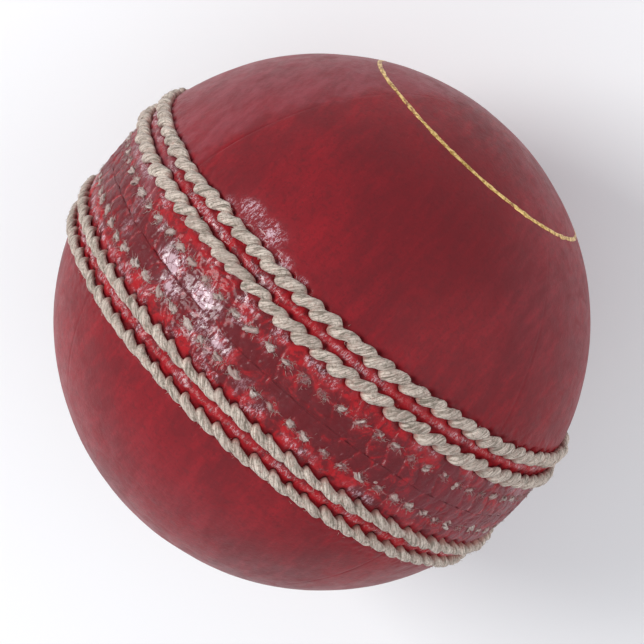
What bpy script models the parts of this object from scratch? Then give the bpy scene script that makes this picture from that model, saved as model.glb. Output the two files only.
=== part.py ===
"""Cricket ball of four leather quarters, built layer by layer like the real one.

Metres, +Z up, origin at the ball's centre. +Y leaves the pole of the stamped half, the half
with the foil ring, so the main seam stands upright in the XZ plane. Each half is modelled in
a frame of its own: its pole on +Z, its quarter join in the XZ plane, the seam plane at z = 0.
"""

import math

import bmesh
import bpy
from mathutils import Matrix, Vector

MM = 0.001

# The ball: 226 mm round over the leather, inside the 224 to 229 mm that the laws allow.
BALL_RADIUS = 36.0 * MM
COVER_THICKNESS = 3.7 * MM
LINING_THICKNESS = 0.9 * MM
NUCLEUS_RADIUS = 13.0 * MM
CORE_RADIUS = 30.5 * MM
WINDINGS = 4
CORK_THICKNESS = 1.2 * MM
PIECE_GAP = 0.3 * MM

# The quarter joins: a meridian of each half, a quarter turn apart, measured about +Y from +Z.
STAMPED_JOIN_LONGITUDE = math.radians(-43.4)
PLAIN_JOIN_LONGITUDE = STAMPED_JOIN_LONGITUDE + math.pi / 2

# The six rows of stitches, by their distance from the seam plane.
STITCHES_PER_ROW = 80
CLOSING_ROW_HEIGHT = 2.8 * MM
INNER_ROW_HEIGHT = 6.26 * MM
OUTER_ROW_HEIGHT = 9.5 * MM
RAISED_THREAD_WIDTH = 1.7 * MM
RAISED_THREAD_THICKNESS = 0.85 * MM
RAISED_THREAD_GAP = 0.15 * MM
THREAD_WAIST = 0.6
CLOSING_THREAD_RADIUS = 0.3 * MM
CLOSING_THREAD_DEPTH = 0.38 * MM
CLOSING_GROOVE_WIDTH = 1.1 * MM
CLOSING_GROOVE_DEPTH = 0.85 * MM
HIDDEN_THREAD_RADIUS = 0.3 * MM
HIDDEN_THREAD_LIFT = 0.25 * MM
HIDDEN_GROOVE_RADIUS = 0.75 * MM
HIDDEN_STITCH_START = math.radians(8.0)

# The foil ring: a gold line stamped round the pole of one half.
FOIL_RING_RADIUS = 17.57 * MM
FOIL_WIDTH = 0.5 * MM
FOIL_THICKNESS = 0.12 * MM
FOIL_DEPTH = 0.08 * MM
FOIL_GROOVE_WIDTH = 0.9 * MM
FOIL_GROOVE_DEPTH = 0.3 * MM

# Facets
COVER_STEPS = 44
COVER_ARC_STEP = math.radians(10.0)
COVER_INNER_ARCS = 8
LINING_STEPS = 28
LINING_ARCS = 7
SHELL_STEPS = 16
SHELL_ARCS = 7
SHELL_OPENING = math.radians(6.0)
CLOSING_STEPS = 64
FOIL_STEPS = 72
HIDDEN_STEPS = 22
THREAD_SIDES = 4
MERGE_DISTANCE = 0.01 * MM

COVER_INNER_RADIUS = BALL_RADIUS - COVER_THICKNESS
LINING_OUTER_RADIUS = COVER_INNER_RADIUS - PIECE_GAP


def clear_scene():
    for obj in list(bpy.data.objects):
        bpy.data.objects.remove(obj, do_unlink=True)


def new_collection(name):
    collection = bpy.data.collections.new(name)
    bpy.context.scene.collection.children.link(collection)
    return collection


def new_material(name, colour, roughness, metallic=0.0):
    material = bpy.data.materials.new(name)
    material.use_nodes = True
    shader = material.node_tree.nodes["Principled BSDF"]
    shader.inputs["Base Color"].default_value = (*colour, 1.0)
    shader.inputs["Roughness"].default_value = roughness
    shader.inputs["Metallic"].default_value = metallic
    return material


def half_frame(name, pole, join_longitude, collection):
    """An empty whose +Z is the half's pole and whose +X lies on its quarter join."""
    z_axis = Vector(pole)
    x_axis = Vector((math.sin(join_longitude), 0.0, math.cos(join_longitude)))
    y_axis = z_axis.cross(x_axis)
    empty = bpy.data.objects.new(name, None)
    empty.empty_display_size = BALL_RADIUS
    collection.objects.link(empty)
    empty.matrix_world = Matrix((x_axis, y_axis, z_axis)).transposed().to_4x4()
    return empty


def place(obj, collection, parent, material=None):
    """Links an object to its collection, under its frame, with its material."""
    for old in list(obj.users_collection):
        old.objects.unlink(obj)
    collection.objects.link(obj)
    obj.parent = parent
    if material is not None:
        obj.data.materials.append(material)
    return obj


def make_cutter(obj):
    obj.hide_render = True
    obj.display_type = "WIRE"
    return obj


def on_sphere(radius, polar_angle):
    """Distance from the axis, and height, of a point at an angle from the pole."""
    return radius * math.sin(polar_angle), radius * math.cos(polar_angle)


def arc(radius, start, end, segments):
    """Points of an arc about the centre, both ends included."""
    turn = (end - start) / segments
    return [on_sphere(radius, start + turn * i) for i in range(segments + 1)]


def polar_angle_at(height):
    return math.acos(height / BALL_RADIUS)


def groove(polar_angle, width, depth):
    """Four points that cross the leather's surface as a groove with a flat floor."""
    half = 0.5 * width / BALL_RADIUS
    floor = BALL_RADIUS - depth
    return [
        on_sphere(BALL_RADIUS, polar_angle - half),
        on_sphere(floor, polar_angle - half),
        on_sphere(floor, polar_angle + half),
        on_sphere(BALL_RADIUS, polar_angle + half),
    ]


def surface_arc(start, end):
    """The points of the leather's surface between two polar angles, ends left out."""
    segments = max(1, round((end - start) / COVER_ARC_STEP))
    return arc(BALL_RADIUS, start, end, segments)[1:-1]


def cover_profile(has_foil_ring):
    """Section of a half cover: down the outside from the pole, then up the inside."""
    edge = 0.5 * PIECE_GAP
    seam_edge = math.acos(edge / BALL_RADIUS)
    grooves = []
    if has_foil_ring:
        foil_angle = math.asin(FOIL_RING_RADIUS / BALL_RADIUS)
        grooves.append((foil_angle, FOIL_GROOVE_WIDTH, FOIL_GROOVE_DEPTH))
    closing_angle = polar_angle_at(CLOSING_ROW_HEIGHT)
    grooves.append((closing_angle, CLOSING_GROOVE_WIDTH, CLOSING_GROOVE_DEPTH))

    points = [on_sphere(BALL_RADIUS, 0.0)]
    reached = 0.0
    for angle, width, depth in grooves:
        half = 0.5 * width / BALL_RADIUS
        points += surface_arc(reached, angle - half)
        points += groove(angle, width, depth)
        reached = angle + half
    points.append(on_sphere(BALL_RADIUS, seam_edge))
    inner_edge = math.acos(edge / COVER_INNER_RADIUS)
    points += arc(COVER_INNER_RADIUS, inner_edge, 0.0, COVER_INNER_ARCS)
    return points


def turned(name, points, steps, closed=False):
    """A profile in the XZ plane, turned about Z."""
    mesh = bpy.data.meshes.new(name)
    count = len(points)
    edges = [(i, i + 1) for i in range(count - 1)]
    if closed:
        edges.append((count - 1, 0))
    mesh.from_pydata([(x, 0.0, z) for x, z in points], edges, [])
    obj = bpy.data.objects.new(name, mesh)
    screw = obj.modifiers.new("Turn", "SCREW")
    screw.axis = "Z"
    screw.angle = math.tau
    screw.steps = steps
    screw.render_steps = steps
    screw.use_merge_vertices = True
    screw.merge_threshold = MERGE_DISTANCE
    return obj


def side_box(name, side, collection, frame):
    """A box that keeps one side of the quarter join, clear of it by half the gap."""
    size = 3.0 * BALL_RADIUS
    bm = bmesh.new()
    bmesh.ops.create_cube(bm, size=size)
    shift = Vector((0.0, side * 0.5 * (size + PIECE_GAP), 0.0))
    bmesh.ops.translate(bm, verts=bm.verts, vec=shift)
    mesh = bpy.data.meshes.new(name)
    bm.to_mesh(mesh)
    bm.free()
    return make_cutter(place(bpy.data.objects.new(name, mesh), collection, frame))


def join_groove(name, collection, frame):
    """A ring along the quarter join that hollows out the leather's inner edge."""
    bpy.ops.mesh.primitive_torus_add(
        major_radius=COVER_INNER_RADIUS,
        minor_radius=HIDDEN_GROOVE_RADIUS,
        major_segments=2 * HIDDEN_STEPS,
        minor_segments=6,
    )
    ring = bpy.context.object
    ring.name = name
    ring.data.transform(Matrix.Rotation(math.pi / 2, 4, "X"))
    return make_cutter(place(ring, collection, frame))


def cut(obj, operation, cutter):
    boolean = obj.modifiers.new(cutter.name, "BOOLEAN")
    boolean.operation = operation
    boolean.solver = "EXACT"
    boolean.object = cutter


def leather_quarters(half, has_foil_ring, parts, cutters, frame, leather):
    """The two quarters of one half: a turned cup, parted along the quarter join."""
    ring = join_groove(f"groove_{half}", cutters, frame)
    for number, side in ((1, 1), (2, -1)):
        box = side_box(f"side_{half}_{number}", side, cutters, frame)
        name = f"cover_quarter_{half}_{number}"
        quarter = turned(name, cover_profile(has_foil_ring), COVER_STEPS)
        cut(quarter, "INTERSECT", box)
        cut(quarter, "DIFFERENCE", ring)
        place(quarter, parts, frame, leather)


def lining(half, parts, frame, leather):
    """A thin leather cup that evens out the inside of one half."""
    inner_radius = LINING_OUTER_RADIUS - LINING_THICKNESS
    edge = 0.5 * PIECE_GAP
    outer_edge = math.acos(edge / LINING_OUTER_RADIUS)
    inner_edge = math.acos(edge / inner_radius)
    points = arc(LINING_OUTER_RADIUS, 0.0, outer_edge, LINING_ARCS)
    points += arc(inner_radius, inner_edge, 0.0, LINING_ARCS)
    place(turned(f"lining_{half}", points, LINING_STEPS), parts, frame, leather)


def core_shell(name, inner_radius, outer_radius, parts, frame, material):
    """One layer of the core, open at its two poles. All share their facets, so they nest."""
    first = SHELL_OPENING
    last = math.pi - SHELL_OPENING
    points = arc(outer_radius, first, last, SHELL_ARCS)
    points += arc(inner_radius, last, first, SHELL_ARCS)
    place(turned(name, points, SHELL_STEPS, closed=True), parts, frame, material)


def core(parts, frame, nucleus_material, yarn_material, cork_material):
    """The nucleus, then layers of wound yarn with thin cork between them."""
    first = SHELL_OPENING
    points = arc(NUCLEUS_RADIUS, first, math.pi - first, SHELL_ARCS)
    points = [(0.0, NUCLEUS_RADIUS), *points, (0.0, -NUCLEUS_RADIUS)]
    nucleus = turned("cork_nucleus", points, SHELL_STEPS)
    place(nucleus, parts, frame, nucleus_material)

    cork_layers = WINDINGS - 1
    gaps = (WINDINGS + cork_layers) * PIECE_GAP
    yarn_total = CORE_RADIUS - NUCLEUS_RADIUS - gaps - cork_layers * CORK_THICKNESS
    yarn_thickness = yarn_total / WINDINGS
    radius = NUCLEUS_RADIUS
    for number in range(1, WINDINGS + 1):
        inner = radius + PIECE_GAP
        radius = inner + yarn_thickness
        core_shell(f"yarn_winding_{number}", inner, radius, parts, frame, yarn_material)
        if number <= cork_layers:
            inner = radius + PIECE_GAP
            radius = inner + CORK_THICKNESS
            core_shell(f"cork_layer_{number}", inner, radius, parts, frame, cork_material)


def raised_row(name, height, parts, frame, thread):
    """A row of stitches lying on the leather: a ring that swells at every stitch."""
    rise = RAISED_THREAD_GAP + 0.5 * RAISED_THREAD_THICKNESS
    polar_angle = polar_angle_at(height)
    ring_radius, ring_height = on_sphere(BALL_RADIUS + rise, polar_angle)
    bpy.ops.mesh.primitive_torus_add(
        major_radius=ring_radius,
        minor_radius=0.5 * RAISED_THREAD_WIDTH,
        major_segments=2 * STITCHES_PER_ROW,
        minor_segments=THREAD_SIDES,
    )
    row = bpy.context.object
    row.name = name
    flatness = RAISED_THREAD_THICKNESS / RAISED_THREAD_WIDTH
    step = math.pi / STITCHES_PER_ROW
    for vertex in row.data.vertices:
        x, y = vertex.co.xy
        turn = math.atan2(y, x)
        outward = Vector((math.cos(turn), math.sin(turn), 0.0))
        offset = vertex.co - ring_radius * outward
        if round(turn / step) % 2:
            offset *= THREAD_WAIST
        across = offset.dot(outward) * flatness
        along = offset.z
        normal = outward * math.sin(polar_angle) + Vector((0, 0, math.cos(polar_angle)))
        side = Vector((0, 0, math.sin(polar_angle))) - outward * math.cos(polar_angle)
        centre = outward * ring_radius + Vector((0, 0, ring_height))
        vertex.co = centre + normal * across + side * along
    place(row, parts, frame, thread)


def closing_row(half, parts, frame, thread):
    """The sunk stitches that close the two halves, drawn down into their groove."""
    polar_angle = polar_angle_at(CLOSING_ROW_HEIGHT)
    radius, height = on_sphere(BALL_RADIUS - CLOSING_THREAD_DEPTH, polar_angle)
    bpy.ops.mesh.primitive_torus_add(
        major_radius=radius,
        minor_radius=CLOSING_THREAD_RADIUS,
        major_segments=CLOSING_STEPS,
        minor_segments=THREAD_SIDES,
    )
    row = bpy.context.object
    row.name = f"closing_stitch_{half}"
    row.data.transform(Matrix.Translation((0.0, 0.0, height)))
    place(row, parts, frame, thread)


def hidden_stitch(half, parts, frame, thread):
    """The inside thread that sews two quarters together along their join."""
    name = f"quarter_stitch_{half}"
    radius = COVER_INNER_RADIUS + HIDDEN_THREAD_LIFT
    curve = bpy.data.curves.new(name, "CURVE")
    curve.dimensions = "3D"
    curve.bevel_depth = HIDDEN_THREAD_RADIUS
    curve.bevel_resolution = 0
    curve.use_fill_caps = True
    spline = curve.splines.new("POLY")
    spline.points.add(HIDDEN_STEPS)
    start = HIDDEN_STITCH_START - math.pi / 2
    for point, (x, z) in zip(spline.points, arc(radius, start, -start, HIDDEN_STEPS)):
        point.co = (x, 0.0, z, 1.0)
    place(bpy.data.objects.new(name, curve), parts, frame, thread)


def foil_ring(parts, frame, foil):
    """A thin gold band, set just below the leather's surface."""
    angle = math.asin(FOIL_RING_RADIUS / BALL_RADIUS)
    half = 0.5 * FOIL_WIDTH / BALL_RADIUS
    top = BALL_RADIUS - FOIL_DEPTH
    points = arc(top, angle - half, angle + half, 1)
    points += arc(top - FOIL_THICKNESS, angle + half, angle - half, 1)
    place(turned("foil_ring", points, FOIL_STEPS, closed=True), parts, frame, foil)


def build():
    clear_scene()
    parts = new_collection("cricket_ball")
    cutters = new_collection("cutters")
    red_leather = new_material("red_leather", (0.30, 0.012, 0.02), 0.28)
    lining_leather = new_material("lining_leather", (0.45, 0.30, 0.18), 0.7)
    seam_thread = new_material("seam_thread", (0.62, 0.55, 0.44), 0.8)
    closing_thread = new_material("closing_thread", (0.42, 0.22, 0.17), 0.8)
    hidden_thread = new_material("hidden_thread", (0.60, 0.54, 0.42), 0.8)
    gold_foil = new_material("gold_foil", (0.80, 0.56, 0.22), 0.3, metallic=1.0)
    cork = new_material("cork", (0.42, 0.24, 0.12), 0.85)
    cork_and_rubber = new_material("cork_and_rubber", (0.26, 0.15, 0.09), 0.8)
    wool_yarn = new_material("wool_yarn", (0.55, 0.50, 0.42), 0.9)

    for half, pole, longitude in (
        ("stamped", (0.0, 1.0, 0.0), STAMPED_JOIN_LONGITUDE),
        ("plain", (0.0, -1.0, 0.0), PLAIN_JOIN_LONGITUDE),
    ):
        stamped = half == "stamped"
        frame = half_frame(f"frame_{half}", pole, longitude, parts)
        lining(half, parts, frame, lining_leather)
        leather_quarters(half, stamped, parts, cutters, frame, red_leather)
        hidden_stitch(half, parts, frame, hidden_thread)
        closing_row(half, parts, frame, closing_thread)
        raised_row(f"seam_row_{half}_inner", INNER_ROW_HEIGHT, parts, frame, seam_thread)
        raised_row(f"seam_row_{half}_outer", OUTER_ROW_HEIGHT, parts, frame, seam_thread)
        if stamped:
            core(parts, frame, cork_and_rubber, wool_yarn, cork)
            foil_ring(parts, frame, gold_foil)


build()
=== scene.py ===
import math

import bpy
import numpy as np
from mathutils import Matrix, Vector


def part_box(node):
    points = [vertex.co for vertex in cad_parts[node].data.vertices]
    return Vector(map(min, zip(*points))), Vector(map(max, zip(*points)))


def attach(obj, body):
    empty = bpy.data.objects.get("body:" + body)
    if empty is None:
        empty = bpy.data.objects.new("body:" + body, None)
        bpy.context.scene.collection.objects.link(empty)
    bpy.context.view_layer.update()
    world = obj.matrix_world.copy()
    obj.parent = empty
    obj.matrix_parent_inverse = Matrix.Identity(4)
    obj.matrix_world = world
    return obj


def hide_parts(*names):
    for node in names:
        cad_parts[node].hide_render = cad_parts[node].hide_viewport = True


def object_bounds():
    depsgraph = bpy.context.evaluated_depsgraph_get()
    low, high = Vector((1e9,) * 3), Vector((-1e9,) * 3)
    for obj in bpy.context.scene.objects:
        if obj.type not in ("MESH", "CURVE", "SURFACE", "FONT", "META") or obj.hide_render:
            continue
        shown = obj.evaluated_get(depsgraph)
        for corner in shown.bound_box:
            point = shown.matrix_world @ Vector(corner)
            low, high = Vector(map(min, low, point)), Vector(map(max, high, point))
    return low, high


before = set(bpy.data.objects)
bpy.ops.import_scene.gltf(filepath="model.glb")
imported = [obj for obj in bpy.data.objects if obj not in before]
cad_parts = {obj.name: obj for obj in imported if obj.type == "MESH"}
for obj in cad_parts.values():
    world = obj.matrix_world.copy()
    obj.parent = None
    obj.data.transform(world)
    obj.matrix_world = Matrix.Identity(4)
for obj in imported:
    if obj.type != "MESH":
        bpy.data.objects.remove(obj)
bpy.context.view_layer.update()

MM = 0.001

# Sizes shared with the CAD. Distances from the seam are measured along the leather.
BALL_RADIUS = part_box("cover_quarter_stamped_1")[1].y
COVER_THICKNESS = 3.7 * MM
COVER_INNER_RADIUS = BALL_RADIUS - COVER_THICKNESS
RING_RISE = 0.4 * MM  # about how far the ring of a row reaches out from its own middle
JOIN_LONGITUDES = {"stamped": math.radians(-43.4), "plain": math.radians(46.6)}
POLE_SIGNS = {"stamped": 1.0, "plain": -1.0}


def row_distance(node):
    """How far along the leather a row of stitches lies from the seam plane."""
    low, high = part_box(node)
    height = abs(low.y + high.y) / 2
    radius = high.x - RING_RISE
    return BALL_RADIUS * math.atan2(height, radius)


STITCHES = 80
PITCH_ANGLE = math.tau / STITCHES
INNER_ROW = row_distance("seam_row_stamped_inner")
OUTER_ROW = row_distance("seam_row_stamped_outer")
CLOSING_ROW = row_distance("closing_stitch_stamped")


# Numeric helpers

NOISE_VALUES = 8192
SCATTER = (73856093, 19349663, 83492791)  # large odd numbers that spread the corners over the table


def lattice_noise(points, cell, seed):
    """Smooth noise from -1 to 1: random values on a cubic lattice, blended between corners."""
    table = np.random.default_rng(seed).uniform(-1.0, 1.0, NOISE_VALUES)
    scaled = points / cell
    base = np.floor(scaled).astype(np.int64)
    blend = scaled - base
    blend = blend * blend * (3.0 - 2.0 * blend)
    total = np.zeros(points.shape[:-1])
    for corner in range(8):
        step = np.array([corner & 1, corner >> 1 & 1, corner >> 2 & 1])
        place = base + step
        key = place[..., 0] * SCATTER[0] ^ place[..., 1] * SCATTER[1]
        key = (key ^ place[..., 2] * SCATTER[2]) % len(table)
        weight = np.where(step, blend, 1.0 - blend).prod(axis=-1)
        total += table[key] * weight
    return total


def fractal_noise(points, cell, seed, octaves=3):
    """Lattice noise in octaves, each half as large and half as strong as the one before."""
    total = np.zeros(points.shape[:-1])
    for octave in range(octaves):
        share = 0.5 ** octave
        total += share * lattice_noise(points, cell * share, seed + octave)
    return total


def on_ball(longitude, latitude, radius):
    """Points at a longitude about +Y from +Z, and a latitude from the seam plane."""
    level = radius * np.cos(latitude)
    x = level * np.sin(longitude)
    z = level * np.cos(longitude)
    return np.stack([x, radius * np.sin(latitude), z], axis=-1)


def wrapped(angle):
    """The same angle, brought to within half a turn of zero."""
    return (angle + math.pi) % math.tau - math.pi


def bell(distance, width):
    """1 at no distance, falling away smoothly over about the width."""
    return np.exp(-((distance / width) ** 2))


def smooth_step(x):
    """0 below 0, 1 above 1, and a smooth rise between."""
    x = np.clip(x, 0.0, 1.0)
    return x * x * (3.0 - 2.0 * x)


# The stitches: where each one starts, row by row, with the unevenness of hand sewing

class Row:
    """One row of stitches. Its starts, line and sizes are jittered as by hand."""

    START_JITTER = 0.055  # as a share of the pitch
    SIZE_JITTER = 0.05
    LINE_JITTER = 0.05 * MM
    LINE_WAVES = ((3, 0.10 * MM), (7, 0.08 * MM), (12, 0.05 * MM))  # waves round the ball, height

    def __init__(self, half, distance, phase_degrees, seed):
        draw = np.random.default_rng(seed)
        index = np.arange(STITCHES)
        self.half = half
        self.sign = POLE_SIGNS[half]
        jitter = draw.normal(0.0, self.START_JITTER, STITCHES) * PITCH_ANGLE
        self.starts = math.radians(phase_degrees) + index * PITCH_ANGLE + jitter
        waves = np.zeros(STITCHES)
        for turns, size in self.LINE_WAVES:
            waves += size * np.sin(turns * self.starts + draw.uniform(0, math.tau))
        wander = waves + draw.normal(0.0, self.LINE_JITTER, STITCHES)
        self.distance = distance
        self.middles = distance + wander
        self.size = 1.0 + draw.normal(0.0, self.SIZE_JITTER, STITCHES)
        self.seed = seed

    def nearest(self, longitude, offset):
        """Index of the stitch nearest to a longitude, moved on by an offset."""
        first = self.starts[0]
        return (np.round((longitude - first) / PITCH_ANGLE).astype(int) + offset) % STITCHES


# Each row's half, distance from the seam, first stitch's longitude in degrees, and seed
ROWS = {
    "stamped_outer": Row("stamped", OUTER_ROW, 2.1, 1),
    "stamped_inner": Row("stamped", INNER_ROW, 2.4, 2),
    "plain_inner": Row("plain", INNER_ROW, 3.4, 3),
    "plain_outer": Row("plain", OUTER_ROW, 3.4, 4),
}
CLOSING_ROWS = {
    "stamped": Row("stamped", CLOSING_ROW, 3.6, 5),
    "plain": Row("plain", CLOSING_ROW, 2.3, 6),
}

# A raised stitch, point by point: along the row, across it towards the pole, height, half-width
RAISED_STITCH = MM * np.array([
    (0.20, -0.32, -0.95, 0.62),
    (0.00, -0.36, -0.25, 0.76),
    (0.20, -0.38, 0.32, 0.82),
    (0.82, -0.26, 0.49, 0.79),
    (1.55, 0.02, 0.52, 0.74),
    (2.25, 0.30, 0.48, 0.71),
    (2.90, 0.40, 0.34, 0.65),
    (3.42, 0.26, -0.06, 0.54),
    (3.60, 0.10, -0.75, 0.42),
])
# How much each half's stitches are drawn in, in the same four terms
NARROWER = {"stamped": (1.0, 1.0, 1.0, 0.97), "plain": (1.0, 0.62, 0.96, 0.84)}
# One strand of a closing stitch, in the same terms
CLOSING_STITCH = MM * np.array([
    (0.20, -0.14, -1.00, 0.14),
    (0.05, -0.18, -0.55, 0.18),
    (0.40, -0.14, -0.24, 0.21),
    (0.85, 0.00, -0.18, 0.22),
    (1.30, 0.14, -0.26, 0.20),
    (1.65, 0.16, -0.60, 0.16),
    (1.70, 0.16, -1.00, 0.13),
])
STITCH_FLATNESS = 0.78  # a thread's height as a share of its width
NEAT = 1.3  # how untidy a raised stitch is: a factor on its jitter
RAGGED = 4.0  # the same for a strand of a closing stitch


# The leather

def dents(longitude, distance, row, along, across, size):
    """How far into a dent each point is, 0 to 1. Each dent is set off from its stitch's start."""
    level = BALL_RADIUS * np.cos(distance / BALL_RADIUS)
    total = np.zeros_like(longitude)
    for offset in (-2, -1, 0, 1):
        k = row.nearest(longitude, offset)
        gap = wrapped(longitude - row.starts[k]) * level - along
        rise = distance - row.middles[k] - across
        total += bell(np.hypot(gap, rise), size)
    return np.clip(total, 0.0, 1.0)


def segment_distance(x, y, x0, y0, x1, y1):
    """Distance from a point to the straight line between two others."""
    dx, dy = x1 - x0, y1 - y0
    t = np.clip((x * dx + y * dy - x0 * dx - y0 * dy) / (dx * dx + dy * dy), 0.0, 1.0)
    return np.hypot(x - x0 - t * dx, y - y0 - t * dy)


FAR = 1.0  # a metre, further than any crease
SEAM_LEAN = 1.1 * MM  # how far along the row a crease has moved where it meets the seam
HOLE_SETBACK = 0.9 * MM  # from the middle of an inner row's stitch back to its hole
WEAKER = 0.05 * MM  # keeps the creases from stitch to stitch a little fainter than the others


def creases(longitude, distance, closing, inner):
    """How near each point is to the creases that the closing stitches pull in the leather."""
    level = BALL_RADIUS * np.cos(distance / BALL_RADIUS)
    nearest = np.full_like(longitude, FAR)
    for offset in (-2, -1, 0, 1, 2):
        k = closing.nearest(longitude, offset)
        x = wrapped(longitude - closing.starts[k]) * level
        here = closing.middles[k]
        following = (k + 1) % STITCHES
        reach = wrapped(closing.starts[following] - closing.starts[k]) * level
        to_next = segment_distance(x, distance, 0.0 * x, here, reach, closing.middles[following])
        lean = SEAM_LEAN + 0.0 * x
        to_seam = segment_distance(x, distance, 0.0 * x, here, lean, 0.0 * here)
        j = inner.nearest(closing.starts[k], 0)
        away = wrapped(inner.starts[j] - closing.starts[k]) * level
        hole = inner.middles[j] - HOLE_SETBACK
        to_row = segment_distance(x, distance, 0.0 * x, here, away, hole)
        for line in (to_next + WEAKER, to_seam, to_row):
            nearest = np.minimum(nearest, line)
    return nearest


# Places where the leather is scuffed, and, on the front near the seam and beside the stamped
# half's outer row, where the key light's reflection falls, so that the pale of a scuff there is
# partly a painted highlight: longitude in degrees, distance from the seam and size in mm, and
# strength
SCUFFS_AND_GLINTS = {
    "stamped": (
        (-30.0, 0.8, 4.6, 1.0),
        (-20.0, 1.0, 5.0, 1.0),
        (-12.0, 3.0, 3.0, 0.5),
        (-13.5, 10.9, 2.4, 0.7),
        (-19.5, 12.2, 3.6, 0.8),
        (-26.0, 12.2, 3.8, 0.7),
        (-31.0, 11.2, 2.0, 0.5),
        (-8.0, 10.9, 1.4, 0.6),
        (148.0, 2.0, 6.0, 0.9),
        (212.0, 11.5, 3.0, 0.8),
        (70.0, 3.0, 4.0, 0.5),
    ),
    "plain": (
        (-27.0, 1.2, 4.0, 0.8),
        (-12.0, 1.4, 4.5, 0.8),
        (2.0, 4.0, 2.6, 0.6),
        (120.0, 2.0, 6.0, 0.8),
        (250.0, 11.5, 3.0, 0.7),
    ),
}


SPOT_SQUASH = 1.4  # a spot of scuff and painted highlight is this much longer along the seam than across it
SPOT_SPREAD = 0.6  # width of its soft edge as a share of its size


def scuffed_and_glinting(longitude, distance, half):
    """How much scuffing the leather has, and near the front where a painted highlight goes, from 0
    to 1.
    """
    level = BALL_RADIUS * np.cos(distance / BALL_RADIUS)
    total = np.zeros_like(longitude)
    for degrees, middle, size, strength in SCUFFS_AND_GLINTS[half]:
        gap = wrapped(longitude - math.radians(degrees)) * level
        rise = SPOT_SQUASH * (distance - middle * MM)
        spot = bell(np.hypot(gap, rise), SPOT_SPREAD * size * MM)
        total = np.maximum(total, strength * spot)
    return total


BAND_EDGE = 5.0 * MM  # the stitched band lies within this distance of the seam
ROWS_EDGE = 11.0 * MM  # and the leather round the raised rows within this one
RAISED_MIDDLE = 8.1 * MM  # middle of the reddened strip under the raised rows
RAISED_REACH = 2.1 * MM
STITCH_LENGTH = 3.4 * MM  # from the hole where a raised stitch starts to the one where it ends
WORN_LIT_LONGITUDE = -0.45  # middle of the stretch where the join's lacquer is torn, on the side facing the key light
WORN_LIT_SPREAD = 0.55
RUBBED_LIT_LONGITUDE = -0.55  # where the lacquer between the raised rows is rubbed most, facing the key light; its pale there is partly a painted highlight

# Heights and depths of the relief
SWELL = 0.05 * MM
WRINKLE = 0.085 * MM
FINE_WRINKLE = 0.060 * MM
PEBBLE = 0.045 * MM
EDGE_DROP = 0.17 * MM
EDGE_ROUNDING = 0.09 * MM
CREASE = 0.08 * MM
PILLOW = 0.10 * MM
THREAD_DENT = 0.24 * MM
ROW_CHANNEL = 0.14 * MM
HOLE = 0.38 * MM
MOUND = 0.30 * MM
MOUND_WRINKLE = 0.06 * MM
PUCKER = 0.045 * MM
JOIN_RIDGE = 0.03 * MM
JOIN_GROOVE = 0.055 * MM
CROWN_LOSS = 0.04 * MM  # how much shallower the join's groove is at the pole

# Widths of the relief
EDGE_WIDTH = 0.13 * MM
CREASE_WIDTH = 0.17 * MM
SOFT_WIDTH = 0.6 * MM
HOLE_WIDTH = 0.50 * MM
CHANNEL_WIDTH = 0.9 * MM
JOIN_WIDTH = 0.18 * MM


def dust_and_sheen(place, longitude, distance, half, in_band):
    """Dust, and a pale mauve that stands in for sheen, from 0 to 1.

    Dust lies beyond the stamped half's join, towards the poles, and over the band away from the
    stretch of wear. Beyond the join and towards the poles, where the ball turns away near its
    outline, the mauve is partly painted sheen.
    """
    outlying = smooth_step((distance - 12.0 * MM) / (14.0 * MM))
    if half == "plain":
        dusty_and_sheen = 0.34 * outlying
    else:
        level = BALL_RADIUS * np.cos(distance / BALL_RADIUS)
        side = np.sin(longitude - JOIN_LONGITUDES[half])
        ragged = 1.6 * fractal_noise(place, 1.8 * MM, 44)
        dusty_and_sheen = smooth_step((ragged - side * level / MM + 0.6) / 3.6) * 0.9
        dusty_and_sheen = dusty_and_sheen * smooth_step((distance - 1.0 * MM) / (4.0 * MM))
        right = smooth_step((wrapped(longitude) - 0.3) / 0.5)
        dusty_and_sheen = np.maximum(dusty_and_sheen, 0.30 * outlying * right)
    grimy = smooth_step((np.abs(wrapped(longitude - WORN_LIT_LONGITUDE)) - 0.75) / 0.6)
    return np.maximum(dusty_and_sheen, 0.62 * grimy * in_band)


def torn_lacquer_and_glint(place, longitude, distance, inner, between, worn_lit_band):
    """How much tearing the lacquer has, from 0 to 1: beside the raised rows and on the stretch of
    wear, most on the side facing the key light, where its pale is partly a painted highlight.
    """
    torn_and_glint = between + bell(distance - inner.distance + 1.7 * MM, 0.9 * MM)
    torn_and_glint = np.maximum(torn_and_glint, 0.85 * worn_lit_band)
    rubbed_lit_side = 0.55 + 0.45 * np.cos(longitude - RUBBED_LIT_LONGITUDE)
    tearing = smooth_step(0.40 + 1.5 * fractal_noise(place, 2.6 * MM, 39))
    return 0.70 * rubbed_lit_side * torn_and_glint * tearing


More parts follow.
